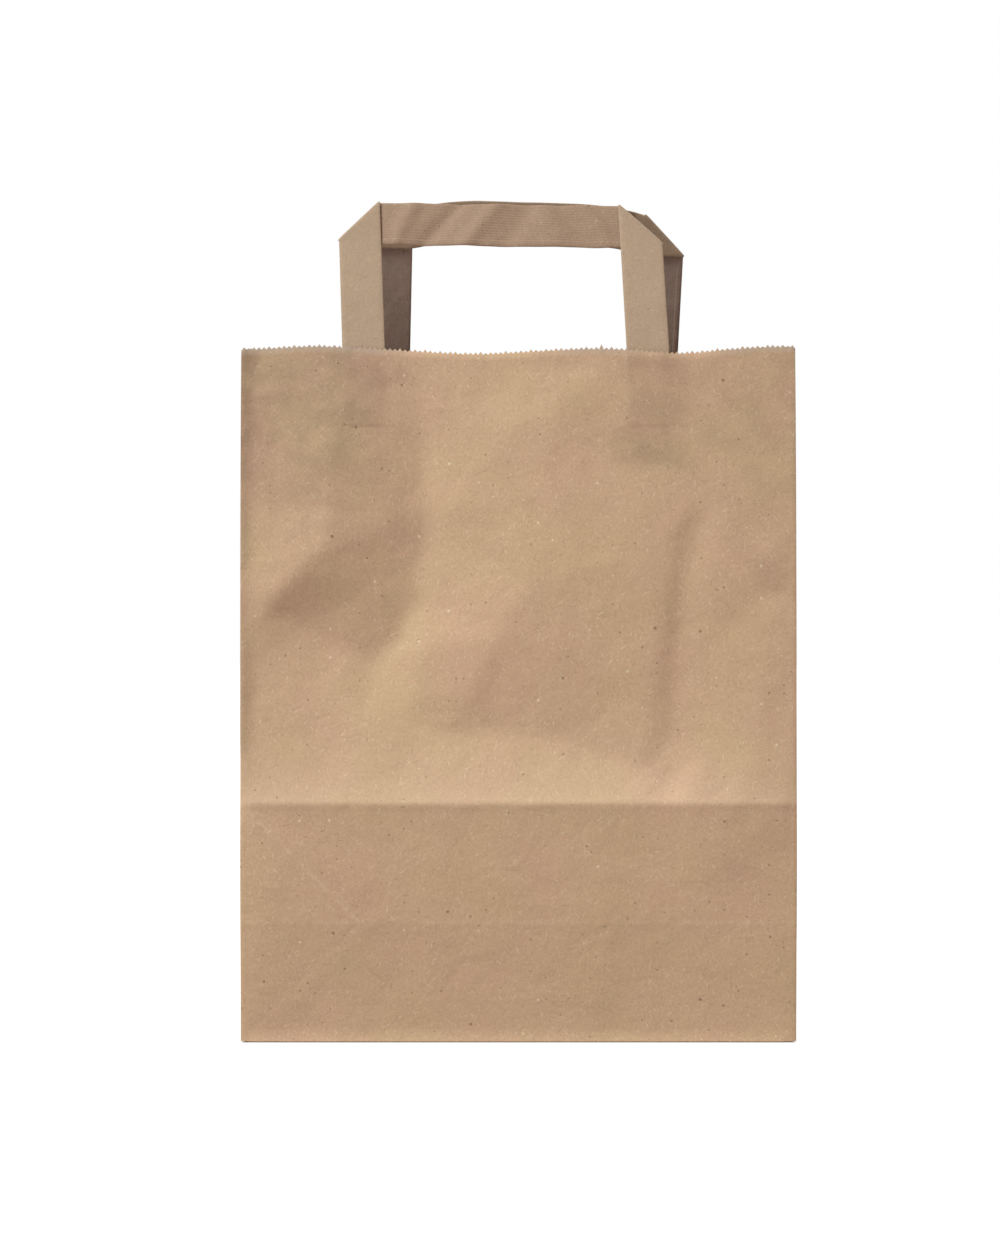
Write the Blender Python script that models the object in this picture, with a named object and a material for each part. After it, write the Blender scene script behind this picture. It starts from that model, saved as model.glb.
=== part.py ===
"""Kraft paper carrier bag with two flat folded handles, standing open on its block bottom.

Metres, +Z up. The origin is on the floor at the middle of the base, +X is the bag's right-hand
side and -Y its near panel. The body is one folded sheet: two panels, two gussets tucked inwards
and a block bottom. Each handle is one folded strap, glued inside the mouth under a paper patch.
"""

import math

import bmesh
import bpy
from mathutils import Vector
from mathutils.bvhtree import BVHTree
from mathutils.geometry import delaunay_2d_cdt

# The bag's own sizes
BAG_WIDTH = 0.220
GUSSET_DEPTH = 0.095
BAG_HEIGHT = 0.2745
MOUTH_GAP = 0.066
NEAR_SHIFT_AT_CREASE = 0.005
NEAR_SHIFT_AT_RIM = 0.007
GUSSET_TUCK = 0.002
GUSSET_CURVE = 0.75
PAPER = 0.0003

# The zigzag cut along the rim
TOOTH_PITCH = 0.0020
TOOTH_DEPTH = 0.0010
TOOTHED_BAND = 0.006

# Block bottom and the glued lap of the sheet
FLAP_OVERLAP = 0.024
LAP_WIDTH = 0.018
LAP_STEP_IN = 0.0006

# Handles
STRAP_WIDTH = 0.017
STRAP_THICKNESS = 0.0007
HANDLE_SPAN = 0.130
LEG_BELOW_RIM = 0.031
GLUE_GAP = 0.0003
FOLD_GAP = 0.0003
NEAR_HANDLE = {"rise": 0.0602, "lean": 0.015, "offset": -0.0050, "sway": -0.0026, "tilt": 0.0018, "arch": 0.0}
FAR_HANDLE = {"rise": 0.0617, "lean": 0.019, "offset": 0.0026, "sway": 0.0020, "tilt": 0.0, "arch": 0.0048}

# Patches over the glued ends of the handles
PATCH_WIDTH = 0.150
PATCH_BELOW_RIM = 0.047
PATCH_TOP_BELOW_RIM = 0.004
PATCH_THICKNESS = 0.0003
PATCH_MARGIN = 0.0006
PATCH_RAMP = 0.004

# How finely the sheet is divided
NEAR_CELLS = 30
FAR_CELLS = 18
HALF_GUSSET_CELLS = 4
MIDDLE_ROWS = 14
MOUTH_ROWS = 3
CREASE_BAND = 0.007

# Rim waves of the near panel: place along X, height and half width
RIM_WAVES = (
    (-0.080, 0.0014, 0.020),
    (-0.017, -0.0017, 0.024),
    (0.030, 0.0005, 0.014),
    (0.064, -0.0014, 0.014),
    (0.104, 0.0013, 0.018),
)

# The near panel is dented: places along X and above the crease, and how far each one swells outwards.
# The X values are read on a scale on which the bag's corners lie at DENT_REACH.
DENT_REACH = 0.110
CREASE_SWELLS = (
    (-0.090, 0.0013), (-0.060, 0.0020), (-0.030, 0.0022), (0, 0.0023),
    (0.030, 0.0020), (0.060, 0.0010), (0.085, 0.0007),
)
NEAR_DENTS = (
    # the ridge over the left dent
    (-0.101, 0.075, 0.0003), (-0.094, 0.0825, 0.0017), (-0.085, 0.0915, 0.0022), (-0.075, 0.101, 0.0020),
    (-0.074, 0.119, 0.0008),
    # the valley round the left dent's foot and up beside the handle's leg
    (-0.087, 0.0715, -0.0020), (-0.072, 0.062, -0.0030), (-0.057, 0.0555, -0.0037), (-0.049, 0.0625, -0.0038),
    (-0.042, 0.0775, -0.0034), (-0.038, 0.100, -0.0024), (-0.037, 0.119, -0.0012), (-0.057, 0.083, -0.0014),
    (-0.056, 0.110, -0.0002),
    # the slope from there down to the crease
    (-0.098, 0.055, -0.0009), (-0.085, 0.040, -0.0010), (-0.062, 0.033, -0.0015), (-0.098, 0.023, -0.0002),
    # the middle ridge, up and over
    (-0.038, 0.025, -0.0012), (-0.027, 0.045, 0.0006), (-0.014, 0.067, 0.0019), (-0.003, 0.091, 0.0026),
    (0.020, 0.097, 0.0028), (0.044, 0.093, 0.0024), (-0.022, 0.108, -0.0002), (-0.004, 0.112, 0.0016),
    (0.025, 0.117, 0.0016),
    # the long valley above the crease
    (-0.010, 0.026, -0.0024), (0.015, 0.025, -0.0029), (0.038, 0.022, -0.0028), (0.051, 0.016, -0.0022),
    # the upright valley on the right, then its left and right shoulders
    (0.0595, 0.0065, -0.0012), (0.0605, 0.025, -0.0026), (0.062, 0.045, -0.0024), (0.064, 0.065, -0.0020),
    (0.066, 0.085, -0.0016), (0.0695, 0.105, -0.0010), (0.076, 0.121, -0.0003),
    (0.052, 0.033, -0.0020), (0.054, 0.051, -0.0009), (0.056, 0.069, 0.0001), (0.0585, 0.089, 0.0008),
    (0.061, 0.109, 0.0009),
    (0.069, 0.021, -0.0004), (0.0705, 0.041, 0.0001), (0.0725, 0.061, 0.0003), (0.075, 0.081, 0.0004),
    (0.079, 0.101, 0.0005), (0.085, 0.117, 0.0003),
    # the right edge
    (0.097, 0.091, -0.0004), (0.092, 0.055, 0.0002), (0.090, 0.020, 0.0002),
)
DENT_ROUNDING = 0.004
ROUNDING_PLACES = 8
FREE_PLACES = 6
SAME_PLACE = 0.00001
CREASE_RIDGE = 0.0008
CORNER_BAND = 0.006

# The far panel bulges along two lines: one end, other end, height and half width
FAR_RELIEF = (
    ((-0.030, 0.060), (-0.010, 0.190), -0.0020, 0.035),
    ((0.055, 0.070), (0.060, 0.170), 0.0014, 0.024),
)
FAR_FREE_EDGE = 0.022

KRAFT = (0.503, 0.337, 0.212)
KRAFT_STRAP = (0.470, 0.318, 0.205)

HALF_WIDTH = BAG_WIDTH / 2
HALF_DEPTH = GUSSET_DEPTH / 2
PLATE_HEIGHT = 2.5 * PAPER
RIM_TUCK = math.sqrt(HALF_DEPTH**2 - (MOUTH_GAP / 2) ** 2)
BAR_STATIONS = (0.85, 0.6, 0.3, 0)


def clear_scene():
    for obj in list(bpy.data.objects):
        bpy.data.objects.remove(obj)


def paper_material(name, colour, roughness):
    material = bpy.data.materials.new(name)
    material.use_nodes = True
    shader = material.node_tree.nodes["Principled BSDF"]
    shader.inputs["Base Color"].default_value = (*colour, 1)
    shader.inputs["Roughness"].default_value = roughness
    shader.inputs["Metallic"].default_value = 0
    return material


def finish_object(name, shape, material, wanted=True):
    """Turns a bmesh into a named object. A helper that only joins another is kept out of renders."""
    bmesh.ops.recalc_face_normals(shape, faces=shape.faces)
    mesh = bpy.data.meshes.new(name)
    shape.to_mesh(mesh)
    shape.free()
    mesh.materials.append(material)
    obj = bpy.data.objects.new(name, mesh)
    bpy.context.scene.collection.objects.link(obj)
    if not wanted:
        obj.hide_render = True
        obj.display_type = "WIRE"
    return obj


def smooth_step(value):
    value = min(max(value, 0), 1)
    return value * value * (3 - 2 * value)


def gusset_tuck(z):
    """How far the gusset's middle fold lies inside the bag's side at this height."""
    if z <= HALF_DEPTH:
        return GUSSET_TUCK * max(z, 0) / HALF_DEPTH
    rise = (z - HALF_DEPTH) / (BAG_HEIGHT - HALF_DEPTH)
    return GUSSET_TUCK + (RIM_TUCK - GUSSET_TUCK) * min(rise, 1) ** GUSSET_CURVE


def bag_depth(z):
    """Distance between the panels at their corners: what the folded gusset leaves."""
    return 2 * math.sqrt(HALF_DEPTH**2 - gusset_tuck(z) ** 2)


def near_shift(z):
    """How far the middle of the bag's depth stands towards the near side."""
    if z <= GUSSET_DEPTH:
        return NEAR_SHIFT_AT_CREASE * smooth_step(z / GUSSET_DEPTH)
    rise = (z - GUSSET_DEPTH) / (BAG_HEIGHT - GUSSET_DEPTH)
    return NEAR_SHIFT_AT_CREASE + (NEAR_SHIFT_AT_RIM - NEAR_SHIFT_AT_CREASE) * rise


def panel_distance(side, z):
    """Distance of a panel from the origin's plane: side is -1 for the near panel, 1 for the far one."""
    return bag_depth(z) / 2 - side * near_shift(z)


def segment_distance(x, z, start, end):
    along = Vector(end) - Vector(start)
    reach = Vector((x, z)) - Vector(start)
    share = min(max(reach.dot(along) / along.length_squared, 0), 1)
    return (reach - along * share).length


def dented_surface():
    """The near panel's dents as a surface of triangles over X and Z, which lies at 0 along the corners of
    the bag, the floor and the patch's lower edge."""
    top = BAG_HEIGHT - PATCH_BELOW_RIM - GUSSET_DEPTH
    places = [(x, 0, swell) for x, swell in CREASE_SWELLS] + list(NEAR_DENTS)
    for step in range(FREE_PLACES + 1):
        share = step / FREE_PLACES
        places += [(side * DENT_REACH, share * top, 0) for side in (-1, 1)]
        places += [(DENT_REACH * (2 * share - 1), level, 0) for level in (-GUSSET_DEPTH, top)]
    flat = [Vector((x * HALF_WIDTH / DENT_REACH, above)) for x, above, swell in places]
    points, _, triangles, origins, _, _ = delaunay_2d_cdt(flat, [], [], 0, SAME_PLACE)
    swells = [places[origin[0]][2] for origin in origins]
    corners = [(point.x, GUSSET_DEPTH + point.y, swell) for point, swell in zip(points, swells)]
    return BVHTree.FromPolygons(corners, triangles)


DENTS = dented_surface()


def dent_swell(x, z):
    """Mean height of the dented surface at places round a point, so that its folds are rounded."""
    total = 0
    for place in range(ROUNDING_PLACES):
        angle = 2 * math.pi * place / ROUNDING_PLACES
        reach = DENT_ROUNDING if place % 2 else DENT_ROUNDING / 2
        above = Vector((x + reach * math.cos(angle), z + reach * math.sin(angle), HALF_DEPTH))
        hit = DENTS.ray_cast(above, Vector((0, 0, -1)))[0]
        total += hit.z if hit else 0
    return total / ROUNDING_PLACES


def near_relief(x, z):
    """Outward swelling of the near panel: its dents, and the ridge of the crease."""
    edge = smooth_step((HALF_WIDTH - abs(x)) / CORNER_BAND)
    top = smooth_step((BAG_HEIGHT - PATCH_BELOW_RIM - z) / CORNER_BAND)
    ridge = CREASE_RIDGE * max(1 - abs(z - GUSSET_DEPTH) / (2 * CREASE_BAND), 0)
    return edge * top * (dent_swell(x, z) + ridge)


def far_relief(x, z):
    """Outward swelling of the far panel, faded out at the glued lap, the base and the patch."""
    fade = smooth_step((HALF_WIDTH - LAP_WIDTH - abs(x)) / FAR_FREE_EDGE)
    fade *= smooth_step((BAG_HEIGHT - PATCH_BELOW_RIM - z) / FAR_FREE_EDGE) * smooth_step(z / FAR_FREE_EDGE)
    relief = 0
    for start, end, height, half_width in FAR_RELIEF:
        relief += height * math.exp(-((segment_distance(x, z, start, end) / half_width) ** 2))
    return relief * fade


def rim_wave(x, z):
    """The near rim isn't cut quite level: its waves fade out down to the patch's lower edge."""
    fade = smooth_step((z - BAG_HEIGHT + PATCH_BELOW_RIM) / PATCH_BELOW_RIM)
    return fade * sum(height * math.exp(-(((x - place) / wide) ** 2)) for place, height, wide in RIM_WAVES)


def panel_point(side, x, z):
    """A point of a panel's middle surface, x running along the bag's width."""
    if side > 0:
        return Vector((x, panel_distance(side, z) + far_relief(x, z), z))
    z += rim_wave(x, z)
    return Vector((x, -panel_distance(side, z) - near_relief(x, z), z))


def gusset_point(side, across, z):
    """A point of a gusset: across runs from -1 at the near corner over 0 at the fold to 1."""
    from_fold = 1 - abs(across)
    if z < HALF_DEPTH:
        tuck = GUSSET_TUCK * min(max(z, 0) / HALF_DEPTH, from_fold)
    else:
        tuck = gusset_tuck(z) * from_fold
    near = -panel_distance(-1, z)
    far = panel_distance(1, z)
    corner_lift = rim_wave(side * HALF_WIDTH, z) * smooth_step(-across)
    return Vector((side * (HALF_WIDTH - tuck), near + (far - near) * (across + 1) / 2, z + corner_lift))


def panel_places(side):
    """X of a panel's columns, anticlockwise. The far panel has one along the edge of the glued lap."""
    if side < 0:
        return [BAG_WIDTH * cell / NEAR_CELLS - HALF_WIDTH for cell in range(NEAR_CELLS)]
    lap_edge = HALF_WIDTH - LAP_WIDTH
    return [HALF_WIDTH] + [lap_edge - (lap_edge + HALF_WIDTH) * cell / FAR_CELLS for cell in range(FAR_CELLS)]


def sheet_columns():
    """The columns of the tube, anticlockwise from the near left corner: each gives its point at a height."""
    columns = []
    for side in (-1, 1):
        for x in panel_places(side):
            columns.append(lambda z, side=side, x=x: panel_point(side, x, z))
        for cell in range(2 * HALF_GUSSET_CELLS):
            across = side * (1 - cell / HALF_GUSSET_CELLS)
            columns.append(lambda z, side=side, across=across: gusset_point(-side, across, z))
    return columns


def row_heights():
    """Heights of the rows: the 45 degree folds of the base run through the corners of its cells."""
    step = HALF_DEPTH / HALF_GUSSET_CELLS
    foot = [step * row for row in range(2 * HALF_GUSSET_CELLS)]
    foot[0] = PLATE_HEIGHT
    crease = [GUSSET_DEPTH - CREASE_BAND / 2, GUSSET_DEPTH, GUSSET_DEPTH + CREASE_BAND]
    stops = (crease[-1], BAG_HEIGHT - PATCH_BELOW_RIM, BAG_HEIGHT - TOOTHED_BAND)
    upper = []
    for low, high, count in zip(stops, stops[1:], (MIDDLE_ROWS, MOUTH_ROWS)):
        upper += [low + (high - low) * row / count for row in range(1, count + 1)]
    return foot + crease + upper


def toothed_edge(low_left, low_right, left, right):
    """The zigzag between two columns at the rim, from right to left, without the columns' own points."""
    teeth = max(round((right - left).length / TOOTH_PITCH), 1)
    points = []
    for step in range(2 * teeth - 1, 0, -1):
        share = step / (2 * teeth)
        foot = low_left.lerp(low_right, share)
        point = left.lerp(right, share)
        if step % 2:
            point += (point - foot).normalized() * TOOTH_DEPTH
        points.append(point)
    return points


def folded_sheet():
    """The sheet's middle surface: rows of cells up the tube, a toothed top row and the closed base."""
    shape = bmesh.new()
    columns = sheet_columns()
    rows = [[shape.verts.new(column(z)) for column in columns] for z in row_heights()]
    for low, high in zip(rows, rows[1:]):
        for here in range(len(columns)):
            after = (here + 1) % len(columns)
            shape.faces.new((low[here], low[after], high[after], high[here]))
    valleys = [shape.verts.new(column(BAG_HEIGHT - TOOTH_DEPTH)) for column in columns]
    for here in range(len(columns)):
        after = (here + 1) % len(columns)
        low, high = (rows[-1][here], rows[-1][after]), (valleys[here], valleys[after])
        edge = toothed_edge(low[0].co, low[1].co, high[0].co, high[1].co)
        shape.faces.new((low[0], low[1], high[1], *[shape.verts.new(point) for point in edge], high[0]))
    shape.faces.new(reversed(rows[0]))
    return shape


def base_flap(name, side, underside, material):
    """A flap of the block bottom: from its hinge at one panel past the middle, its ends at 45 degrees."""
    reach = HALF_DEPTH + FLAP_OVERLAP / 2
    hinge = side * HALF_DEPTH
    outline = (
        (-HALF_WIDTH, hinge),
        (HALF_WIDTH, hinge),
        (HALF_WIDTH - reach, hinge - side * reach),
        (reach - HALF_WIDTH, hinge - side * reach),
    )
    shape = bmesh.new()
    face = shape.faces.new([shape.verts.new((x, y, underside)) for x, y in outline])
    grown = bmesh.ops.extrude_face_region(shape, geom=[face])
    moved = [item for item in grown["geom"] if isinstance(item, bmesh.types.BMVert)]
    bmesh.ops.translate(shape, verts=moved, vec=(0, 0, PLATE_HEIGHT - underside))
    return finish_object(name, shape, material, wanted=False)


def glued_lap(name, material):
    """The sheet's free edge, glued over the far panel beside its right-hand corner."""
    shape = bmesh.new()
    heights = [z for z in row_heights()] + [BAG_HEIGHT - 2 * TOOTH_DEPTH]
    heights[0] = PLATE_HEIGHT + PAPER
    sides = []
    for x in (HALF_WIDTH - LAP_STEP_IN, HALF_WIDTH - LAP_WIDTH):
        for out in (0, 1.5 * PAPER):
            sides.append([shape.verts.new(panel_point(1, x, z) + Vector((0, out, 0))) for z in heights])
    ring = (sides[0], sides[1], sides[3], sides[2])
    for place, here in enumerate(ring):
        after = ring[(place + 1) % len(ring)]
        for row in range(len(heights) - 1):
            shape.faces.new((here[row], after[row], after[row + 1], here[row + 1]))
    for end in (0, -1):
        shape.faces.new([side[end] for side in ring])
    return finish_object(name, shape, material, wanted=False)


def build_bag_body():
    material = paper_material("kraft_sheet", KRAFT, 0.72)
    body = finish_object("bag_body", folded_sheet(), material)
    wall = body.modifiers.new("paper_wall", "SOLIDIFY")
    wall.thickness = PAPER
    wall.offset = 0
    wall.use_even_offset = True
    joined = (
        base_flap("outer_flap", -1, 0, material),
        base_flap("inner_flap", 1, PAPER, material),
        glued_lap("tube_lap", material),
    )
    for piece in joined:
        union = body.modifiers.new(piece.name, "BOOLEAN")
        union.operation = "UNION"
        union.object = piece


def inside_rim(side, below, depth_in):
    """Distance from the middle plane, height and the panel's upward and outward directions."""
    z = BAG_HEIGHT - below
    step = TOOTH_DEPTH
    slope = (panel_distance(side, z + step) - panel_distance(side, z - step)) / (2 * step)
    length = math.hypot(slope, 1)
    up = Vector((0, slope / length, 1 / length))
    out = Vector((0, up.z, -up.y))
    return Vector((0, panel_distance(side, z), z)) + out * depth_in, up, out


def strap_point(side, sizes, x, rise, layer):
    """A point of the strap's middle surface and its frame. Layer is how far it lies outwards of the legs."""
    depth_in = -(PAPER / 2 + GLUE_GAP + STRAP_THICKNESS / 2)
    if rise <= 0:
        point, up, out = inside_rim(side, -rise, depth_in)
    else:
        point = inside_rim(side, 0, depth_in)[0]
        angle = math.asin(sizes["lean"] / sizes["rise"])
        up = Vector((0, -math.sin(angle), math.cos(angle)))
        out = Vector((0, up.z, -up.y))
        point = point + up * rise
    sway = sizes["sway"] * max(rise, 0) / sizes["rise"]
    point = point + out * layer + Vector((x + sizes["offset"] + sway, 0, 0))
    return point, up, out


def bar_lift(sizes, x):
    """The bar isn't quite level: it tilts along X and arches between its two folds."""
    inner = HANDLE_SPAN / 2 - STRAP_WIDTH
    return sizes["arch"] * max(1 - (x / inner) ** 4, 0) - sizes["tilt"] * x / HANDLE_SPAN


def strap_stations(side, sizes):
    """Pairs of edge points with a thickness direction, from the left leg's end over the bar."""
    outer = HANDLE_SPAN / 2
    inner = outer - STRAP_WIDTH
    top = sizes["rise"] / math.cos(math.asin(sizes["lean"] / sizes["rise"]))
    under = top - STRAP_WIDTH
    turn = (STRAP_THICKNESS + FOLD_GAP) / 2
    leg = [-LEG_BELOW_RIM, -LEG_BELOW_RIM / 2, 0, under / 2]
    left = [((-outer, rise), (-inner, rise), 0, 0) for rise in leg]
    left += [((-outer, under), (-inner, top), turn, math.radians(angle)) for angle in range(0, 181, 45)]
    across = [turn - inner] + [-inner * share for share in BAR_STATIONS]
    bar = [((x, under), (x, top), turn, math.pi) for x in across]
    half = left + bar
    other = []
    for low, high, radius, angle in half[-2::-1]:
        other.append(((-low[0], low[1]), (-high[0], high[1]), radius, angle))
    stations = []
    for place, (low, high, radius, angle) in enumerate(half + other):
        way = -1 if place < len(half) else 1
        pair = []
        for x, rise in (low, high):
            if radius > 0:
                rise += bar_lift(sizes, x)
            point, up, out = strap_point(side, sizes, x, rise, radius * (math.cos(angle) - 1))
            fold_out = Vector((way, 0, 0)) + up
            fold_out.normalize()
            normal = out * math.cos(angle) + fold_out * math.sin(angle)
            pair.append((point + fold_out * radius * math.sin(angle), normal))
        stations.append(pair)
    return stations


def build_handle(name, side, sizes, material):
    """One strap as a run of flat sections, turned about the bag's upright axis onto its own side."""
    shape = bmesh.new()
    rings = []
    for (low, low_normal), (high, high_normal) in strap_stations(side, sizes):
        half = STRAP_THICKNESS / 2
        corners = (
            low - low_normal * half,
            high - high_normal * half,
            high + high_normal * half,
            low + low_normal * half,
        )
        rings.append([shape.verts.new((point.x, side * point.y, point.z)) for point in corners])
    for here, after in zip(rings, rings[1:]):
        for corner in range(4):
            then = (corner + 1) % 4
            shape.faces.new((here[corner], here[then], after[then], after[corner]))
    shape.faces.new(rings[0])
    shape.faces.new(rings[-1])
    return finish_object(name, shape, material)


def patch_stops(sizes):
    """Places across and below the rim where the patch changes level over the legs."""
    outer = HANDLE_SPAN / 2
    inner = outer - STRAP_WIDTH
    near, far = inner - PATCH_MARGIN, outer + PATCH_MARGIN
    side = [near - PATCH_RAMP, near, far, far + PATCH_RAMP]
    across = [-PATCH_WIDTH / 2] + [-x for x in reversed(side)] + side + [PATCH_WIDTH / 2]
    low = LEG_BELOW_RIM + PATCH_MARGIN
    down = [PATCH_BELOW_RIM, low + PATCH_RAMP, low, LEG_BELOW_RIM / 2, PATCH_TOP_BELOW_RIM]
    raised = {-x for x in side[1:3]} | set(side[1:3])
    return [(x, x in raised) for x in across], [(below, below <= low) for below in down]


def build_patch(name, side, sizes, material):
    """A paper strip on the panel's inside that steps up over the two legs."""
    across, down = patch_stops(sizes)
    on_panel = -(PAPER / 2 + GLUE_GAP + PATCH_THICKNESS / 2)
    on_leg = on_panel - STRAP_THICKNESS - GLUE_GAP
    shape = bmesh.new()
    rows = []
    for below, beside_leg in down:
        row = []
        for x, over_leg in across:
            depth_in = on_leg if beside_leg and over_leg else on_panel
            point = inside_rim(side, below, depth_in)[0]
            row.append(shape.verts.new((x + sizes["offset"], side * point.y, point.z)))
        rows.append(row)
    for low, high in zip(rows, rows[1:]):
        for here in range(len(low) - 1):
            shape.faces.new((low[here], low[here + 1], high[here + 1], high[here]))
    patch = finish_object(name, shape, material)
    wall = patch.modifiers.new("paper_wall", "SOLIDIFY")
    wall.thickness = PATCH_THICKNESS
    wall.offset = 0
    return patch


def main():
    clear_scene()
    build_bag_body()
    strap = paper_material("kraft_strap", KRAFT_STRAP, 0.66)
    patch = paper_material("kraft_patch", KRAFT_STRAP, 0.75)
    for name, side, sizes in (("front_handle", -1, NEAR_HANDLE), ("rear_handle", 1, FAR_HANDLE)):
        build_handle(name, side, sizes, strap)
        build_patch(name + "_patch", side, sizes, patch)


main()
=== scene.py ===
import math

import bpy
import numpy as np
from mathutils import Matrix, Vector
from mathutils.bvhtree import BVHTree
from mathutils.geometry import delaunay_2d_cdt


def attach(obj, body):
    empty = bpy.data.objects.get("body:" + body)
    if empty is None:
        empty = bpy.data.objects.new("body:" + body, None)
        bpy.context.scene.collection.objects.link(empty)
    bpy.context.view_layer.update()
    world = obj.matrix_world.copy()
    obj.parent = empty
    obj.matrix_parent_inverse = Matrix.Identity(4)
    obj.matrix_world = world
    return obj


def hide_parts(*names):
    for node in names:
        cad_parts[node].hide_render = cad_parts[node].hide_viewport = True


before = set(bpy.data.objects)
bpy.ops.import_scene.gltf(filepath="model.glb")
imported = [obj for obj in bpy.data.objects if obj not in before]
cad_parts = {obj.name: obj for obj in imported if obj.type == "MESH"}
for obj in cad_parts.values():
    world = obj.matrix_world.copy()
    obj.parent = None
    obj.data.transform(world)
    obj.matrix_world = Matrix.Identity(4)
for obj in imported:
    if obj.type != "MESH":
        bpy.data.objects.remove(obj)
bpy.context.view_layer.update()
scene = bpy.context.scene
scene.view_settings.view_transform = "Standard"
print("frame loaded:", sorted(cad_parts))

# The photograph is 1000 by 1250 pixels. The camera looks level along +Y at the bag's near panel.
view = {
    "camera": (-0.0073, -1.05, 0.1646),
    "lens": 73.25,
    "sensor": 36.0,
}

# The bag's sheet, metres: the solid's sizes, with a thinner wall
bag = {
    "width": 0.220,
    "gusset": 0.095,
    "height": 0.2745,
    "mouth": 0.066,
    "shiftAtCrease": 0.005,
    "shiftAtRim": 0.007,
    "waist": 0.00055,
    "tuck": 0.002,
    "curve": 0.75,
    "paper": 0.0002,
    "tooth": 0.0010,
    "teeth": 110,
    "gussetTeeth": 48,
    "cornerStrip": 0.0006,
    "baseLift": 0.00065,
}

# The rim's teeth differ in height by two sines of their number, and one of them is torn out further
cut = {"swing": 0.22, "pace": 2.4, "ripple": 0.12, "ripplePace": 5.1, "torn": 72, "tornBy": 1.2}

# Waves of the near rim: place along X, height, half width
rimWaves = (
    (-0.080, 0.0014, 0.020),
    (-0.017, -0.0017, 0.024),
    (0.030, 0.0005, 0.014),
    (0.064, -0.0014, 0.014),
    (0.104, 0.0013, 0.018),
)

# Dents of the near panel: place along X and above the crease, and how far it swells outwards. Between
# them the paper is as good as flat, so it shades in facets.
creaseSwells = (
    (-0.090, 0.0014), (-0.060, 0.0021), (-0.030, 0.0024), (0, 0.0025),
    (0.030, 0.0022), (0.056, 0.0012), (0.066, 0.0012), (0.085, 0.0009),
)
nearDents = (
    # the ridge over the left dent, and on up beside the handle's leg
    (-0.1015, 0.0755, 0.0008), (-0.094, 0.0835, 0.0024), (-0.085, 0.0925, 0.0035), (-0.0755, 0.102, 0.0037),
    (-0.074, 0.120, 0.0026), (-0.074, 0.140, 0.0021), (-0.074, 0.158, 0.0012),
    # the valley round the left dent's foot and up the leg's other side
    (-0.098, 0.0735, -0.0002), (-0.087, 0.0695, -0.0028), (-0.072, 0.0615, -0.0047),
    (-0.057, 0.0550, -0.0064), (-0.0485, 0.0625, -0.0056), (-0.0415, 0.0775, -0.0048),
    (-0.038, 0.100, -0.0036), (-0.037, 0.119, -0.0026), (-0.0385, 0.140, -0.0019), (-0.040, 0.158, -0.0009),
    (-0.060, 0.083, -0.0016), (-0.052, 0.110, -0.0004), (-0.057, 0.135, 0.0002),
    # the slope from there down to the crease
    (-0.098, 0.055, -0.0012), (-0.085, 0.038, -0.0012), (-0.064, 0.033, -0.0018), (-0.098, 0.022, -0.0002),
    (-0.045, 0.036, -0.0026), (-0.038, 0.060, -0.0016),
    # the middle ridge, up and over, and the bright slope over it
    (-0.029, 0.026, -0.0022), (-0.018, 0.046, 0.0001), (-0.006, 0.068, 0.0015), (0.005, 0.088, 0.0022),
    (0.023, 0.095, 0.0025), (0.044, 0.091, 0.0020), (-0.022, 0.108, -0.0004), (-0.003, 0.114, 0.0018),
    (0.012, 0.128, 0.0030), (0.035, 0.117, 0.0018), (-0.004, 0.148, 0.0026), (0.014, 0.155, 0.0024),
    (0.036, 0.142, 0.0006), (0.052, 0.135, 0.0004), (-0.018, 0.152, 0.0010),
    # a small fold that runs off the left valley
    (-0.030, 0.103, -0.0022), (-0.024, 0.1145, 0.0002),
    # the long valley above the crease
    (-0.010, 0.0290, -0.0026), (0.015, 0.0240, -0.0028), (0.036, 0.0175, -0.0026), (0.049, 0.0125, -0.0019),
    # the upright valley on the right, then its left and right shoulders
    (0.0595, 0.0068, -0.0016), (0.0605, 0.025, -0.0031), (0.062, 0.045, -0.0025), (0.0635, 0.065, -0.0017),
    (0.0655, 0.085, -0.0011), (0.069, 0.105, -0.0007), (0.076, 0.121, -0.0004), (0.069, 0.142, -0.0002),
    (0.0515, 0.033, -0.0014), (0.0545, 0.051, -0.0006), (0.0560, 0.069, 0.0003), (0.0580, 0.089, 0.0010),
    (0.0610, 0.109, 0.0010),
    (0.074, 0.021, -0.0019), (0.076, 0.041, -0.0017), (0.076, 0.061, -0.0014), (0.0765, 0.081, -0.0004),
    (0.0785, 0.101, 0.0001), (0.085, 0.117, 0.0002),
    # the right edge and its small dent
    (0.097, 0.055, 0.0001), (0.094, 0.020, 0.0), (0.100, 0.095, 0.0007), (0.100, 0.083, -0.0005),
    (0.091, 0.089, 0.0), (0.088, 0.103, 0.0002),
)
dents = {"rounding": 0.0032, "places": 12, "free": 6, "cornerBand": 0.006, "top": 0.008}

# The far panel swells along two lines: one end, other end, height and half width
farFolds = (
    ((-0.030, 0.060), (-0.010, 0.190), -0.0020, 0.035),
    ((0.055, 0.070), (0.060, 0.170), 0.0014, 0.024),
)
crease = {"ridge": 0.0009, "band": 0.007, "farFreeEdge": 0.022, "foldDepth": 0.00016, "foldHalf": 0.0012}

# Shares of the fold depth: ridges above 0, grooves below it
foldShares = {"halfLine": 0.25, "upperLeft": 0.6, "upperRight": -0.7, "lower": -0.8, "farHalfLine": 4}

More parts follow.
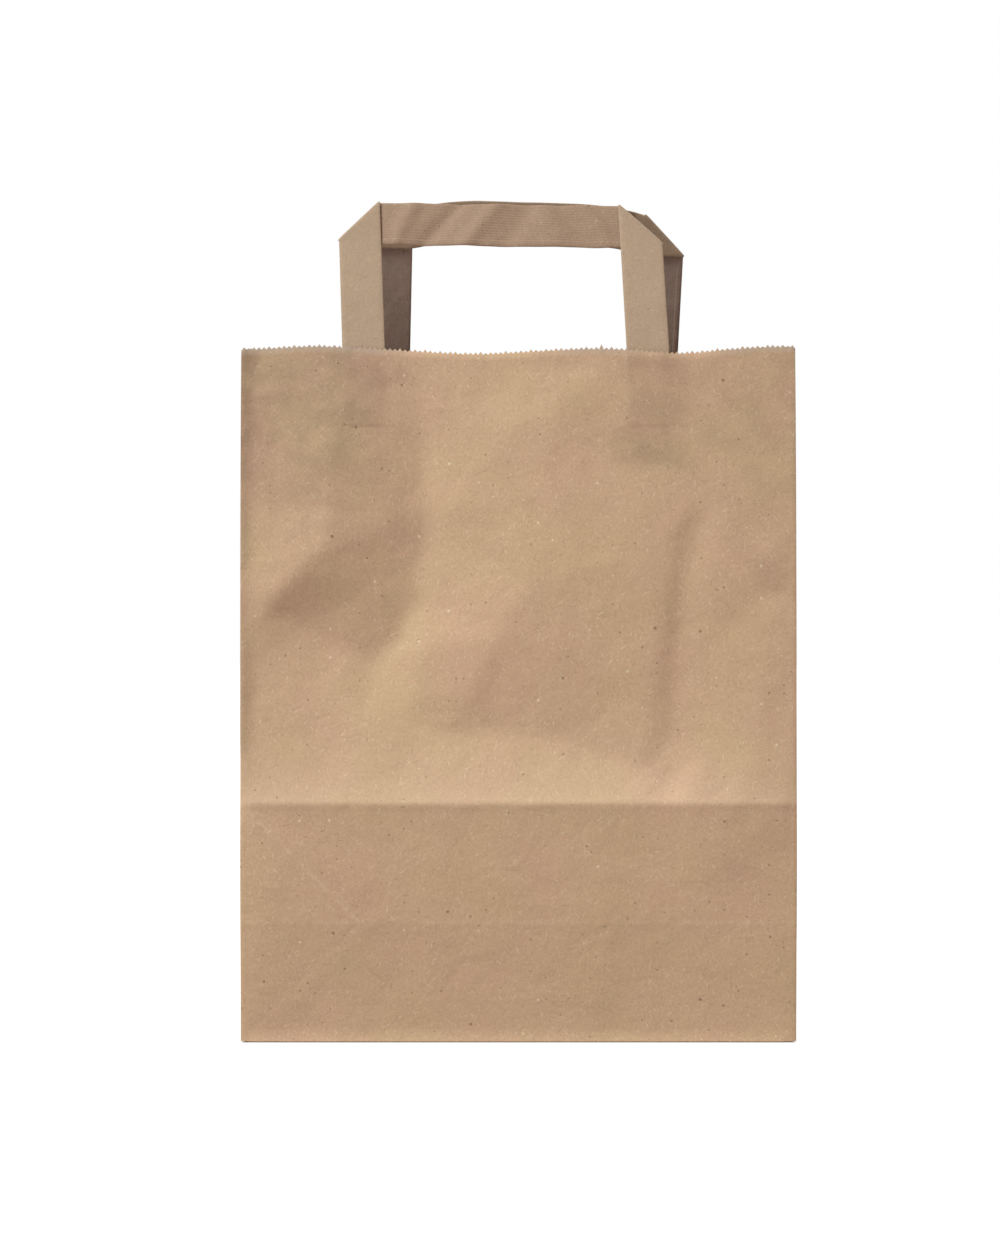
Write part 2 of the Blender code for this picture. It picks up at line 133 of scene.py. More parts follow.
# The near panel's left corner fold flares towards the viewer, over this height and width
flare = {"swell": 0.0011, "wide": 0.0050, "low": 0.110, "fade": 0.015, "foot": 0.0008, "footHigh": 0.0050}
emboss = {"leg": 0.00022, "patch": 0.00006, "ramp": 0.0018, "farLegs": 0.4}
lap = {"width": 0.018, "stepIn": 0.0006, "lift": 0.00025}
flaps = {
    "overlap": 0.024,
    "outerLift": 0.00015,
    "innerLift": 0.00037,
    "sideGap": 0.0004,
    "hingeGap": 0.0003,
    "uvShift": 0.4,
}

# Handles: one flat strap each, mitred at 45 degrees
strap = {
    "width": 0.017,
    "thick": 0.0007,
    "span": 0.130,
    "below": 0.031,
    "glueGap": 0.0003,
    "foldGap": 0.0003,
    "ribPitch": 0.00105,
    "ribDepth": 0.00003,
    "lapWidth": 0.0024,
    "lapStep": 0.00012,
    "lapSoft": 0.0003,
    "foldEase": 0.002,
    "foldClear": 0.0004,
}

# Side -1 is the near handle. The bar's lower edge hangs by drop below the strap's width, and ribs is the
# share of the rib depth.
handles = (
    {"name": "front_strap", "node": "front_handle", "side": -1, "rise": 0.0602, "lean": 0.015,
     "offset": -0.0050, "sway": -0.0026, "tilt": 0.0018, "arch": 0.0, "drop": 0.0012, "ribs": 1.0},
    {"name": "rear_strap", "node": "rear_handle", "side": 1, "rise": 0.0617, "lean": 0.019,
     "offset": 0.0026, "sway": 0.0020, "tilt": 0.0038, "arch": 0.0040, "drop": 0.0, "ribs": 0.3},
)
patch = {
    "width": 0.150,
    "below": 0.047,
    "top": 0.004,
    "thick": 0.0002,
    "margin": 0.0006,
    "ramp": 0.004,
    "rimFade": 0.012,
}

solidWall = 0.0003  # the solid's drawn wall, which sets where glued pieces lie


def smoothStep(value):  # 0 below 0, 1 above 1, the cubic between
    value = np.clip(value, 0, 1)
    return value * value * (3 - 2 * value)


def gussetTuck(z):  # depth of the gusset's middle fold: linear to half depth, then a power of the height
    half = bag["gusset"] / 2
    rimTuck = math.sqrt(half**2 - (bag["mouth"] / 2) ** 2)
    rise = np.clip((z - half) / (bag["height"] - half), 0, 1)
    upper = bag["tuck"] + (rimTuck - bag["tuck"]) * rise ** bag["curve"]
    return np.where(z <= half, bag["tuck"] * np.clip(z, 0, None) / half, upper)


def bagDepth(z):  # the folded gusset's two halves are the sides of a triangle over this base
    return 2 * np.sqrt((bag["gusset"] / 2) ** 2 - gussetTuck(z) ** 2)


def nearShift(z):  # smooth rise to the crease, then straight to the rim
    low = bag["shiftAtCrease"] * smoothStep(z / bag["gusset"])
    rise = (z - bag["gusset"]) / (bag["height"] - bag["gusset"])
    high = bag["shiftAtCrease"] + (bag["shiftAtRim"] - bag["shiftAtCrease"]) * rise
    return np.where(z <= bag["gusset"], low, high)


def panelDistance(side, z):
    return bagDepth(z) / 2 - side * nearShift(z)


def lineGap(x, z, start, end):  # distance of each point from a straight line's stretch
    alongX, alongZ = end[0] - start[0], end[1] - start[1]
    share = np.clip(((x - start[0]) * alongX + (z - start[1]) * alongZ) / (alongX**2 + alongZ**2), 0, 1)
    return np.hypot(x - start[0] - share * alongX, z - start[1] - share * alongZ)


def bells(x, z, lines):  # for each line, its height times a bell of the distance to it
    return sum(height * np.exp(-((lineGap(x, z, start, end) / half) ** 2))
               for start, end, height, half in lines)


def dentedSurface():  # triangles through the dents, 0 along the corners, the floor and a line under the rim
    half = bag["width"] / 2
    top = bag["height"] - dents["top"] - bag["gusset"]
    places = [(x, 0, swell) for x, swell in creaseSwells] + list(nearDents)
    for share in np.linspace(0, 1, dents["free"] + 1):
        places += [(side * half, share * top, 0) for side in (-1, 1)]
        places += [(half * (2 * share - 1), level, 0) for level in (-bag["gusset"], top)]
    flat = [Vector((x, above)) for x, above, swell in places]
    points, _, triangles, origins, _, _ = delaunay_2d_cdt(flat, [], [], 0, 0.00001)
    swells = [places[origin[0]][2] for origin in origins]
    corners = [(point.x, bag["gusset"] + point.y, swell) for point, swell in zip(points, swells)]
    return BVHTree.FromPolygons(corners, triangles)


dentSurface = dentedSurface()


def dentSwell(x, z):  # mean height of the dented surface at places round each point, so its folds are rounded
    x, z = np.broadcast_arrays(x, z)
    total, down = np.zeros(x.shape), Vector((0, 0, -1))
    for place in range(dents["places"]):
        angle = 2 * math.pi * place / dents["places"]
        reach = dents["rounding"] * (1 if place % 2 else 0.5)
        acrossAll, upAll = x + reach * math.cos(angle), z + reach * math.sin(angle)
        starts = [Vector((across, up, 1)) for across, up in zip(acrossAll.flat, upAll.flat)]
        hits = [dentSurface.ray_cast(start, down)[0] for start in starts]
        total += np.array([hit.z if hit else 0 for hit in hits]).reshape(x.shape)
    return total / dents["places"]


def storedFolds():  # the near panel's faint lines of the flat bag: a cross of 45 degree folds at each end
    half, deep, soft = bag["width"] / 2, bag["gusset"], crease["foldHalf"]
    lines = [((-half, deep / 2), (half, deep / 2), foldShares["halfLine"], soft)]
    for way, upper in ((-1, foldShares["upperLeft"]), (1, foldShares["upperRight"])):
        meet = (way * (half - deep / 2), deep / 2)
        lines.append(((way * half, deep), meet, upper, soft))
        lines.append(((way * half, 0), meet, foldShares["lower"], soft))
    return lines


def legPress(x, z):  # 1 over the near handle's glued legs, less over the far one's, with soft edges
    below = bag["height"] - z
    x, below = np.broadcast_arrays(x, below)
    pressed = np.zeros(x.shape)
    for handle in handles:
        for way in (-1, 1):
            middle = handle["offset"] + way * (strap["span"] - strap["width"]) / 2
            across = smoothStep(0.5 + (strap["width"] / 2 - np.abs(x - middle)) / emboss["ramp"])
            down = smoothStep(0.5 + (strap["below"] - below) / emboss["ramp"])
            share = 1 if handle["side"] < 0 else emboss["farLegs"]
            pressed = np.maximum(pressed, share * across * down)
    return pressed


def broadRelief(x, z):  # the dents and the crease's ridge, which glued pieces follow too
    edge = smoothStep((bag["width"] / 2 - np.abs(x)) / dents["cornerBand"])
    ridge = crease["ridge"] * np.exp(-np.abs(z - bag["gusset"]) / crease["band"])
    return edge * (dentSwell(x, z) + ridge)


def nearRelief(x, z):  # the broad relief, the corner's and the foot's flares, the lines and pressed places
    half = bag["width"] / 2
    edge = smoothStep((half - np.abs(x)) / dents["cornerBand"])
    relief = broadRelief(x, z)
    fromCorner = (x + half) / flare["wide"]
    rising = smoothStep((z - flare["low"]) / flare["fade"])
    relief = relief + flare["swell"] * rising * np.clip(1 - fromCorner, 0, 1)
    relief = relief + flare["foot"] * np.clip(1 - z / flare["footHigh"], 0, 1) ** 1.5 * edge
    below = bag["height"] - z
    onPatch = smoothStep(0.5 + (patch["width"] / 2 - np.abs(x - handles[0]["offset"])) / emboss["ramp"])
    onPatch = onPatch * smoothStep(0.5 + (patch["below"] - below) / emboss["ramp"])
    lines = crease["foldDepth"] * bells(x, z, storedFolds())
    return relief + lines * edge + emboss["leg"] * legPress(x, z) + emboss["patch"] * onPatch


def farRelief(x, z):  # soft swellings, faded out at the glued lap, the foot and the patch, and one fold line
    wide = crease["farFreeEdge"]
    fade = smoothStep((bag["width"] / 2 - lap["width"] - np.abs(x)) / wide)
    fade = fade * smoothStep((bag["height"] - patch["below"] - z) / wide) * smoothStep(z / wide)
    line = np.exp(-((z - bag["gusset"] / 2) / crease["foldHalf"]) ** 2)
    line = foldShares["farHalfLine"] * crease["foldDepth"] * line
    return bells(x, z, farFolds) * fade + line * smoothStep((bag["width"] / 2 - np.abs(x)) / wide)


def rimWave(x, z):
    fade = smoothStep((z - bag["height"] + patch["below"]) / patch["below"])
    return fade * sum(height * np.exp(-(((x - place) / half) ** 2)) for place, height, half in rimWaves)


def waisted(x, z):  # the bag is a little narrower at its crease and foot than at its rim
    share = (z - bag["gusset"]) / (bag["height"] - bag["gusset"])
    return x * (1 - bag["waist"] / (bag["width"] / 2) * (1 - smoothStep(share)))


def panelPoints(side, x, z):  # x across and z up as arrays, the panel's distance as y
    relief = nearRelief if side < 0 else farRelief
    if side < 0:
        z = z + rimWave(x, z)
    return np.stack([waisted(x, z), side * (panelDistance(side, z) + relief(x, z)), z + 0 * x], -1)


def gussetPoints(side, across, z):  # across from -1 at the near corner over 0 at the fold to 1
    half = bag["gusset"] / 2
    fromFold = 1 - np.abs(across)
    low = bag["tuck"] * np.minimum(np.clip(z, 0, None) / half, fromFold)
    tuck = np.where(z < half, low, gussetTuck(z) * fromFold)
    near, far = -panelDistance(-1, z), panelDistance(1, z)
    if side < 0:
        rising = smoothStep((z - flare["low"]) / flare["fade"])
        near = near - flare["swell"] * rising
    lift = rimWave(side * bag["width"] / 2, z) * smoothStep(-across)
    x = waisted(side * (bag["width"] / 2 - tuck), z)
    return np.stack([x, near + (far - near) * (across + 1) / 2, z + lift], -1)


def meshObject(name, points, faces, uvs, material, attributes=None):
    # points (n, 3), faces as a list of index arrays, and uvs as a list of arrays to match
    mesh = bpy.data.meshes.new(name)
    mesh.from_pydata(points, [], [face for group in faces for face in group.tolist()])
    layer = mesh.uv_layers.new(name="paperUv")
    layer.data.foreach_set("uv", np.concatenate([group.reshape(-1, 2) for group in uvs]).ravel())
    for key, values in (attributes or {}).items():
        mesh.attributes.new(key, "FLOAT", "POINT").data.foreach_set("value", values.ravel())
    mesh.materials.append(material)
    mesh.polygons.foreach_set("use_smooth", np.ones(len(mesh.polygons), bool))
    mesh.update()
    obj = bpy.data.objects.new(name, mesh)
    scene.collection.objects.link(obj)
    return obj


def gridFaces(count, first, wrap=False):  # quads of a grid of (rows, columns), numbered from first
    rows, columns = count
    index = first + np.arange(rows * columns).reshape(rows, columns)
    right = np.roll(index, -1, axis=1) if wrap else index[:, 1:]
    left = index if wrap else index[:, :-1]
    return np.stack([left[:-1], right[:-1], right[1:], left[1:]], -1).reshape(-1, 4)


def gridUvs(u, v):  # the same quads on the flat sheet, in tenths of a metre, u across it and v up it
    flat = np.stack(np.meshgrid(u, v), -1)
    return 10 * np.stack([flat[:-1, :-1], flat[:-1, 1:], flat[1:, 1:], flat[1:, :-1]], -2).reshape(-1, 4, 2)


def sheetColumns():
    # places of the columns: along the panels in X, and across the gussets from -1 to 1, with a narrow strip
    # on either side of each corner so that the fold can be rounded
    half, strip = bag["width"] / 2, bag["cornerStrip"]
    teeth = np.linspace(-half, half, bag["teeth"] + 1)
    along = np.concatenate([[-half, -half + strip], teeth[1:-1], [half - strip]])
    share = strip / (bag["gusset"] / 2)
    folds = np.linspace(-1, 1, bag["gussetTeeth"] + 1)
    across = np.concatenate([[-1, -1 + share], folds[1:-1], [1 - share]])
    return along, across


def sheetRows():  # heights of the rows, close together at the foot, the folds and the legs' ends
    deep, top = bag["gusset"], bag["height"] - bag["tooth"]
    stops = (
        (bag["baseLift"], 0.0007), (0.0025, 0.0018), (0.008, 0.0030), (deep / 2 - 0.002, 0.0008),
        (deep / 2 + 0.002, 0.0030), (deep - 0.006, 0.0010), (deep + 0.006, 0.0024),
        (bag["height"] - strap["below"] - 0.002, 0.0006), (bag["height"] - strap["below"] + 0.002, 0.0025),
        (top, 0),
    )
    rows = [stops[0][0]]
    for (low, step), (high, _) in zip(stops, stops[1:]):
        count = max(round((high - low) / step), 1)
        rows += [low + (high - low) * row / count for row in range(1, count + 1)]
    return np.array(rows)


def tubePoints(z):  # the tube's middle surface, rows by columns, anticlockwise from the near left corner
    along, across = sheetColumns()
    z = z[:, None]
    strips = [
        panelPoints(-1, along[None, :], z),
        gussetPoints(1, across[None, :], z),
        panelPoints(1, -along[None, :], z),
        gussetPoints(-1, -across[None, :], z),
    ]
    return np.concatenate(strips, 1)


def softened(points, corners):  # pulls each fold's column halfway towards its two neighbours
    result = points.copy()
    count = points.shape[1]
    for corner in corners:
        around = (points[:, corner - 1] + points[:, (corner + 1) % count]) / 2
        result[:, corner] = (points[:, corner] + around) / 2
    return result


# How much painted shade darkens the near panel: towards its upper corners and rim, below and above the
# crease, along its left edge and up its right side. Ramps: strength, where it starts, over what length
ramps = {
    "leftCorner": (2.1, 0.040, 0.050),
    "rightCorner": (0.5, 0.030, 0.040),
    "upToCorner": (0.42, 0.170, 0.070),
    "upToRim": (0.20, 0.200, 0.070),
    "upToCrease": (0.25, 0.045, 0.050),
    "overCrease": (0.25, bag["gusset"], 0.004),
    "endAtCrease": (1, -bag["gusset"], 0.004),
    "leftLegTop": (0.3, 0.245, 0.015),
    "leftEdge": (0.5, 0.100, 0.020),
    "rightSide": (0.25, 0.062, 0.030),
    "upRightSide": (1, bag["gusset"], 0.050),
}
# Soft rectangles: X from, to and softness, Z from, to and softness, strength. Legs run on past the rim.
overRim = bag["height"] + 0.02
# painted shade of the left handle's legs, seen through the paper
leftLegTone = ((-0.078, -0.045, 0.022), (0.210, overRim, 0.040), 0.275)
# painted shade: the first two over and under the right handle's legs, the third in the small dent on the
# right
shadeBoxes = (
    ((0.042, 0.066, 0.007), (0.226, overRim, 0.006), 0.385),
    ((0.036, 0.060, 0.006), (0.229, 0.243, 0.004), 0.5),
    ((0.092, 0.107, 0.008), (0.176, 0.189, 0.008), 0.3),
)
# Painted shade along folds and valleys: one end, other end, strength, half width
shadeStreaks = (
    ((0.098, 0.083), (0.086, 0.072), 0.40, 0.011),
    ((0.086, 0.066), (0.030, 0.012), 0.20, 0.006),
    ((-0.060, 0.044), (-0.096, 0.006), 0.22, 0.007),
    ((-0.051, 0.172), (-0.047, 0.216), 0.30, 0.0032),
    ((-0.041, 0.199), (-0.024, 0.209), 0.28, 0.0040),
)
shadeUnderCrease = {"strength": 0.45, "under": 0.0022, "half": 0.0011}
# half width of the painted shade along the near panel's left edge
leftEdgeHalf = 0.004


def ramp(name, value):
    strength, start, length = ramps[name]
    return strength * smoothStep((value - start) / length)


def softBox(x, z, box):  # the box's strength inside it, 0 outside, with soft edges
    inside = box[2]
    for value, (low, high, soft) in ((x, box[0]), (z, box[1])):
        inside = inside * smoothStep(0.5 + (value - low) / soft) * smoothStep(0.5 + (high - value) / soft)
    return inside


def paintedShadeTone(x, z):  # how much painted shade darkens the near panel, from its corners to its foot
    tone = (ramp("leftCorner", -x) + ramp("rightCorner", x)) * ramp("upToCorner", z) + ramp("upToRim", z)
    tone = tone + ramp("upToCrease", z) * ramp("endAtCrease", -z) + ramp("overCrease", z)
    tone = tone + softBox(x, z, leftLegTone) * (1 + ramp("leftLegTop", z))
    tone = tone + sum(softBox(x, z, box) for box in shadeBoxes) + bells(x, z, shadeStreaks)
    # painted shade along the left edge and up the right side
    tone = tone + np.exp(-(((x + bag["width"] / 2) / leftEdgeHalf) ** 2)) * ramp("leftEdge", z)
    tone = tone + ramp("rightSide", x) * ramp("upRightSide", z)
    fromShade = (z - bag["gusset"] + shadeUnderCrease["under"]) / shadeUnderCrease["half"]
    return tone + shadeUnderCrease["strength"] * np.exp(-(fromShade**2))


# The crease's line, partly rubbed paper and partly painted highlight, the painted highlight on the lit slope
# above it, and how far down the cut's tips take painted shade, in teeth
rubbedAndHighlit = {"line": 0.5, "above": 0.0004, "half": 0.0010, "slope": 0.55, "slopeReach": 0.015, "tips": 1.6}


def sheetAttributes(points):  # by name: painted shade over the glued legs, painted shade of the panel, the crease's rubbed line with painted highlight, shaded cut tips
    x, y, z = points[..., 0], points[..., 1], points[..., 2]
    near = (y < -0.02).astype(float)
    over = z - bag["gusset"]
    lines = rubbedAndHighlit["line"] * np.exp(-(((over - rubbedAndHighlit["above"]) / rubbedAndHighlit["half"]) ** 2))
    slope = rubbedAndHighlit["slope"] * np.exp(-np.abs(over) / rubbedAndHighlit["slopeReach"])
    lines = np.maximum(lines, (over >= 0) * slope)
    tips = smoothStep((z - bag["height"] + rubbedAndHighlit["tips"] * bag["tooth"]) / bag["tooth"])
    return {"layers": legPress(x, z) * near, "paintedShade": paintedShadeTone(x, z) * near, "lines": lines * near,
            "tips": tips}


def seamLap():  # the sheet's glued edge: a strip over the far panel beside its right corner
    z = sheetRows()[2:]
    x = np.linspace(bag["width"] / 2 - lap["stepIn"], bag["width"] / 2 - lap["width"], 10)
    points = panelPoints(1, x[None, :], z[:, None])
    points[..., 1] += lap["lift"]
    return points.reshape(-1, 3), gridFaces((len(z), len(x)), 0), gridUvs(-x, z)


def baseFlap(side, lift):
    # a flap of the block bottom: hinged at a panel, reaching past the middle, its ends cut at 45 degrees
    half, reach = bag["width"] / 2 - bag["waist"] - flaps["sideGap"], bag["gusset"] / 2 + flaps["overlap"] / 2
    share = np.linspace(0, 1, 13)
    across = np.linspace(-1, 1, 41)
    edge = half - reach * share
    hinge = side * (bag["gusset"] / 2 - flaps["hingeGap"])
    x = across[None, :] * edge[:, None]
    y = hinge - side * reach * share[:, None] + 0 * x
    points = np.stack([x, y, lift + 0 * x], -1)
    faces = gridFaces(x.shape, 0)
    flat = 10 * np.stack([x, y + flaps["uvShift"]], -1).reshape(-1, 2)
    if side > 0:
        faces = faces[:, ::-1]
    return points.reshape(-1, 3), faces, flat[faces]


def buildBag(material):
    along, across = sheetColumns()
    z = sheetRows()
    corner = [0, len(along), len(along) + len(across), 2 * len(along) + len(across)]
    folds = [len(along) + len(across) // 2, 2 * len(along) + len(across) + len(across) // 2]
    tube = softened(tubePoints(z), corner + folds)
    rows, columns = tube.shape[:2]
    tubeFaces = gridFaces((rows, columns), 0, wrap=True)
    # the sheet is cut square, so the width along it is the same at every height
    onPanel = np.concatenate([np.diff(along), [bag["width"] / 2 - along[-1]]])
    onGusset = np.concatenate([np.diff(across), [1 - across[-1]]]) * bag["gusset"] / 2
    u = np.concatenate([[0], np.cumsum(np.concatenate([onPanel, onGusset, onPanel, onGusset]))])
    tubeUvs = gridUvs(u, z)

    # teeth: over each wide cell of the rim, a triangle whose tip stands a tooth's depth above
    wide = np.diff(u) > 1.5 * bag["cornerStrip"]
    left = np.arange(columns)[wide]
    right = (left + 1) % columns
    upward = tube[-1] - tube[-2]
    upward /= np.linalg.norm(upward, axis=1, keepdims=True)
    wave = 1 + cut["swing"] * np.sin(left * cut["pace"])
    wave += cut["ripple"] * np.sin(left * cut["ripplePace"] + 1)
    wave += cut["tornBy"] * (left == cut["torn"])
    middle, ahead = (tube[-1][left] + tube[-1][right]) / 2, (upward[left] + upward[right]) / 2
    tips = middle + ahead * bag["tooth"] * wave[:, None]
    first = rows * columns
    top = (rows - 1) * columns
    toothFaces = np.stack([top + left, top + right, first + np.arange(len(left))], -1)
    tipU, tipV = (u[:-1][wide] + u[1:][wide]) / 2, np.full(len(left), z[-1] + bag["tooth"])
    flatV = np.full(len(left), z[-1])
    flatCorners = ((u[:-1][wide], flatV), (u[1:][wide], flatV), (tipU, tipV))
    toothUvs = 10 * np.stack([np.stack(pair, -1) for pair in flatCorners], 1)

    # base: the outline's X places by its Y places, its edge shared with the tube's lowest row
    baseX = np.concatenate([along, [bag["width"] / 2]])
    baseY = np.concatenate([across, [1]])
    grid = np.zeros((len(baseY), len(baseX)), int)
    inner = first + len(tips) + np.arange((len(baseY) - 2) * (len(baseX) - 2))
    grid[1:-1, 1:-1] = inner.reshape(len(baseY) - 2, len(baseX) - 2)
    grid[0, :] = np.arange(len(baseX))
    grid[:, -1] = len(along) + np.arange(len(baseY))
    grid[-1, ::-1] = corner[2] + np.arange(len(baseX))
    grid[::-1, 0] = (corner[3] + np.arange(len(baseY))) % columns
    low = tube[0]
    share = (baseY[1:-1, None] + 1) / 2
    nearEdge, farEdge = low[1:len(baseX) - 1], low[grid[-1, 1:-1]]
    floor = nearEdge[None] * (1 - share[..., None]) + farEdge[None] * share[..., None]
    baseFaces = np.stack([grid[:-1, :-1], grid[1:, :-1], grid[1:, 1:], grid[:-1, 1:]], -1).reshape(-1, 4)
    baseUvs = gridUvs(baseX, baseY * bag["gusset"] / 2 - bag["gusset"])[:, [0, 3, 2, 1]]

    points = np.concatenate([tube.reshape(-1, 3), tips, floor.reshape(-1, 3)])
    faces, uvs = [tubeFaces, toothFaces, baseFaces], [tubeUvs, toothUvs, baseUvs]
    islands = (seamLap(), baseFlap(-1, flaps["outerLift"]), baseFlap(1, flaps["innerLift"]))
    for islandPoints, islandFaces, islandUvs in islands:
        faces.append(islandFaces + len(points))
        uvs.append(islandUvs)
        points = np.concatenate([points, islandPoints])
    obj = meshObject("bag_sheet", points, faces, uvs, material, sheetAttributes(points))
    thicken(obj, bag["paper"])
    obj.data.set_sharp_from_angle(angle=math.radians(38))
    return obj


def thicken(obj, thickness):  # both ways from the middle surface
    wall = obj.modifiers.new("paper", "SOLIDIFY")
    wall.thickness = thickness
    wall.offset = 0
    wall.use_even_offset = True


def insideRim(side, rise, layer):
    # places at a height over the rim, moved out from the panel's middle surface by layer, with the panel's
    # upward and outward directions there
    z, step = bag["height"] + rise, 0.001
    slope = (panelDistance(side, z + step) - panelDistance(side, z - step)) / (2 * step)
    length = np.hypot(slope, 1)
    up = np.stack([0 * z, slope / length, 1 / length], -1)
    out = np.stack([0 * z, up[..., 2], -up[..., 1]], -1)
    return np.stack([0 * z, panelDistance(side, z), z], -1) + out * layer[..., None], up, out


def followPanel(side, x, z):  # how far a piece glued inside the near panel moves out with the dents
    return broadRelief(x, z) * smoothStep((bag["height"] - z) / patch["rimFade"]) if side < 0 else 0 * z


def strapFrame(handle, x, rise):  # the strap's middle: on the panel below the rim, then on a plane leaning in
    depthIn = -(solidWall / 2 + strap["glueGap"] + strap["thick"] / 2)
    low, lowUp, lowOut = insideRim(handle["side"], np.minimum(rise, 0), np.full(rise.shape, depthIn))
    angle = math.asin(handle["lean"] / handle["rise"])
    highUp = np.array([0, -math.sin(angle), math.cos(angle)])
    highOut = np.array([0, highUp[2], -highUp[1]])
    above = (rise > 0)[..., None]
    up, out = np.where(above, highUp, lowUp), np.where(above, highOut, lowOut)
    point = low + np.clip(rise, 0, None)[..., None] * highUp
    sway = handle["sway"] * np.clip(rise, 0, None) / handle["rise"]
    point[..., 0] += x + handle["offset"] + sway
    point[..., 1] += followPanel(handle["side"], point[..., 0], point[..., 2])
    return point, up, out


def barLift(handle, x):  # the bar tilts along X and arches between its two folds
    inner = strap["span"] / 2 - strap["width"]
    return handle["arch"] * np.clip(1 - (x / inner) ** 4, 0, 1) - handle["tilt"] * x / strap["span"]


def strapStations(handle):
    # sections of the strap as rows of low X, low rise, high X, high rise, turn radius, turn angle and way: up
    # the left leg, round the 45 degree fold, along the bar, and the mirror of it
    outer, top = strap["span"] / 2, handle["rise"] / math.cos(math.asin(handle["lean"] / handle["rise"]))
    inner, under = outer - strap["width"], top - strap["width"]
    turn = (strap["thick"] + strap["foldGap"]) / 2
    ease, clear = strap["foldEase"], strap["foldClear"]
    rows = [(-outer, rise, -inner, rise, 0, 0) for rise in np.linspace(-strap["below"], under - ease, 40)]
    for share in np.linspace(0.1, 0.9, 9):
        high = under + share * strap["width"] - clear
        rows.append((-outer, under - ease * (1 - share), -inner, high, 0, 0))
    rows += [(-outer, under, -inner, top, turn, math.radians(angle)) for angle in np.linspace(0, 180, 9)]
    for share in np.linspace(0.1, 0.9, 9):
        low = under - handle["drop"] * smoothStep((share - 0.3) / 0.6)
        across = -outer + share * strap["width"] - clear
        rows.append((across, low, -inner + ease * share, top, turn, math.pi))
    rows += [(x, under - handle["drop"], x, top, turn, math.pi) for x in np.linspace(-inner + 0.003, 0, 46)]
    half = np.array(rows)
    other = half[-2::-1] * np.array([-1, 1, -1, 1, 1, 1])
    way = np.concatenate([-np.ones(len(half)), np.ones(len(other))])
    return np.column_stack([np.concatenate([half, other]), way])


def strapSection(handle):
    # once round the strap: share of the width, half thickness with its sign, and 1 on the reverse face, where
    # the paper is ribbed and its last ply ends in a narrow lap along one edge
    edge = np.array([0, 0.004, 0.014, 0.032, 0.06])
    share = np.concatenate([edge, np.linspace(0.09, 0.91, 70), 1 - edge[::-1]])
    half = strap["thick"] / 2 * (1 - np.abs(2 * share - 1) ** 14) ** 0.5
    across = share * strap["width"]
    inside = smoothStep((0.5 - np.abs(share - 0.5)) / 0.06)
    ribs = handle["ribs"] * strap["ribDepth"] * np.cos(2 * math.pi * across / strap["ribPitch"]) * inside
    ply = strap["lapStep"] * smoothStep((strap["lapWidth"] - across) / strap["lapSoft"]) * inside
    face, back = half, -(half + ribs + ply)
    reverse = np.concatenate([np.zeros(len(share)), np.ones(len(share) - 2)])
    return np.concatenate([share, share[-2:0:-1]]), np.concatenate([face, back[-2:0:-1]]), reverse


# Soft wrinkles of the bars: place along X, lean, height and half width
barWrinkles = (
    (-0.040, 0.55, 0.00080, 0.0040), (-0.025, 0.85, -0.00085, 0.0042), (-0.009, 0.80, 0.00095, 0.0048),
    (0.006, 0.60, -0.00060, 0.0050), (0.020, -0.20, 0.00045, 0.0050), (0.031, -0.80, -0.00070, 0.0042),
    (0.041, -0.70, 0.00060, 0.0040),
)
wrinkleFade = {"under": 0.004, "upwards": 0.006, "sideways": 0.008}


def strapWrinkles(handle, x, rise):  # bells along leaning lines over the bar, none on the legs
    up = rise - handle["rise"] + strap["width"] / 2
    wave = sum(height * np.exp(-(((x - place + handle["side"] * lean * up) / half) ** 2))
               for place, lean, height, half in barWrinkles)
    over = (rise - handle["rise"] + strap["width"] + wrinkleFade["under"]) / wrinkleFade["upwards"]
    beside = (strap["span"] / 2 - strap["width"] - np.abs(x)) / wrinkleFade["sideways"]
    return wave * smoothStep(over) * smoothStep(beside)


def buildStrap(handle, material):
    stations = strapStations(handle)
    share, thickness, reverse = strapSection(handle)
    low, high = stations[:, None, 0:2], stations[:, None, 2:4]
    place = low + (high - low) * share[None, :, None]
    radius, angle, way = (stations[:, column, None] for column in (4, 5, 6))
    x, rise = place[..., 0], place[..., 1]
    atTop = smoothStep((rise - handle["rise"] / 2) / (handle["rise"] / 2 - strap["width"]))
    rise = rise + barLift(handle, x) * atTop
    point, up, out = strapFrame(handle, x, rise)
    foldOut = way[..., None] * np.array([1.0, 0, 0]) + up
    foldOut /= np.linalg.norm(foldOut, axis=-1, keepdims=True)
    cosine, sine = np.cos(angle)[..., None], np.sin(angle)[..., None]
    normal = out * cosine + foldOut * sine
    point = point + out * (radius[..., None] * (cosine - 1)) + foldOut * radius[..., None] * sine
    point = point + out * strapWrinkles(handle, x, rise)[..., None]
    point = point + normal * thickness[None, :, None]
    point[..., 1] *= handle["side"]
    rows, columns = point.shape[:2]
    lengths = np.linalg.norm(np.diff(point[:, columns // 4], axis=0), axis=1)
    run = np.concatenate([[0], np.cumsum(lengths)])
    girth = np.concatenate([share * strap["width"], [0]])
    girth[len(girth) // 2 + 1:] = 2 * strap["width"] - girth[len(girth) // 2 + 1:]
    faces = gridFaces((rows, columns), 0, wrap=True)
    uvs = gridUvs(girth, run)[..., ::-1]
    caps = [np.arange(columns)[None, ::-1], (rows - 1) * columns + np.arange(columns)[None]]
    capUvs = [10 * np.stack([girth[:-1], np.zeros(columns)], -1)[None]] * 2
    if handle["side"] < 0:
        faces, uvs = faces[:, ::-1], uvs[:, ::-1]
        caps = [cap[:, ::-1] for cap in caps]
    # painted shade: the far legs' reverse takes a greyer tone of its own for the shade they lie in
    farLeg = (angle == 0) & (handle["side"] > 0)
    marks = {"reverse": np.tile(reverse, (rows, 1)), "shaded": reverse * farLeg}
    obj = meshObject(handle["name"], point.reshape(-1, 3), [faces] + caps, [uvs] + capUvs, material, marks)
    obj.data.set_sharp_from_angle(angle=math.radians(50))
    return obj


